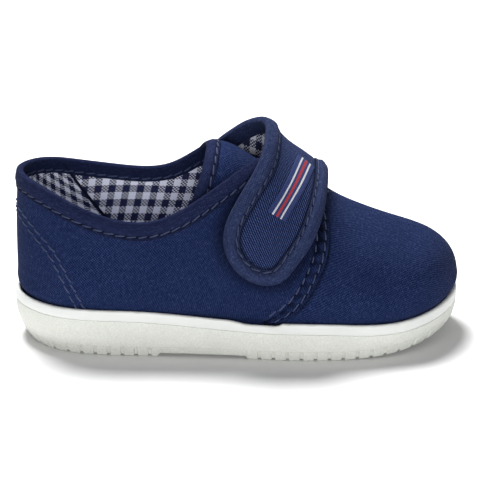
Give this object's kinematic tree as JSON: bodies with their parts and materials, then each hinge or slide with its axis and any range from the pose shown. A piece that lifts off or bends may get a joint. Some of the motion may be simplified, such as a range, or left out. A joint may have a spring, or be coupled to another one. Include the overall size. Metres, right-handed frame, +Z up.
{
  "type": "toddler's canvas sneaker with a hook-and-loop strap",
  "caption": "Low navy canvas sneaker for a toddler's right foot, with a round-ended strap over the instep, a check lining and a white rubber sole.",
  "frame": {"origin": "middle of the shoe's length and width, on the surface it stands on", "axes": "+X from heel to toe, +Y towards the big-toe side, +Z up"},
  "size_m": [0.147, 0.06, 0.074],
  "materials": {
    "sole_rubber": "white injected rubber, smooth band over a finely stippled wall",
    "canvas": "navy cotton canvas, plain weave",
    "binding": "navy folded cotton tape",
    "lining_cloth": "navy and white gingham cotton",
    "thread": "twisted slate-blue sewing thread",
    "ribbon": "woven ribbon with plain stripes"
  },
  "bodies": {
    "root": {"outsole": "sole_rubber", "insole": "lining_cloth", "upper": "canvas", "tongue": "canvas", "strap": "canvas"}
  },
  "joints": []
}
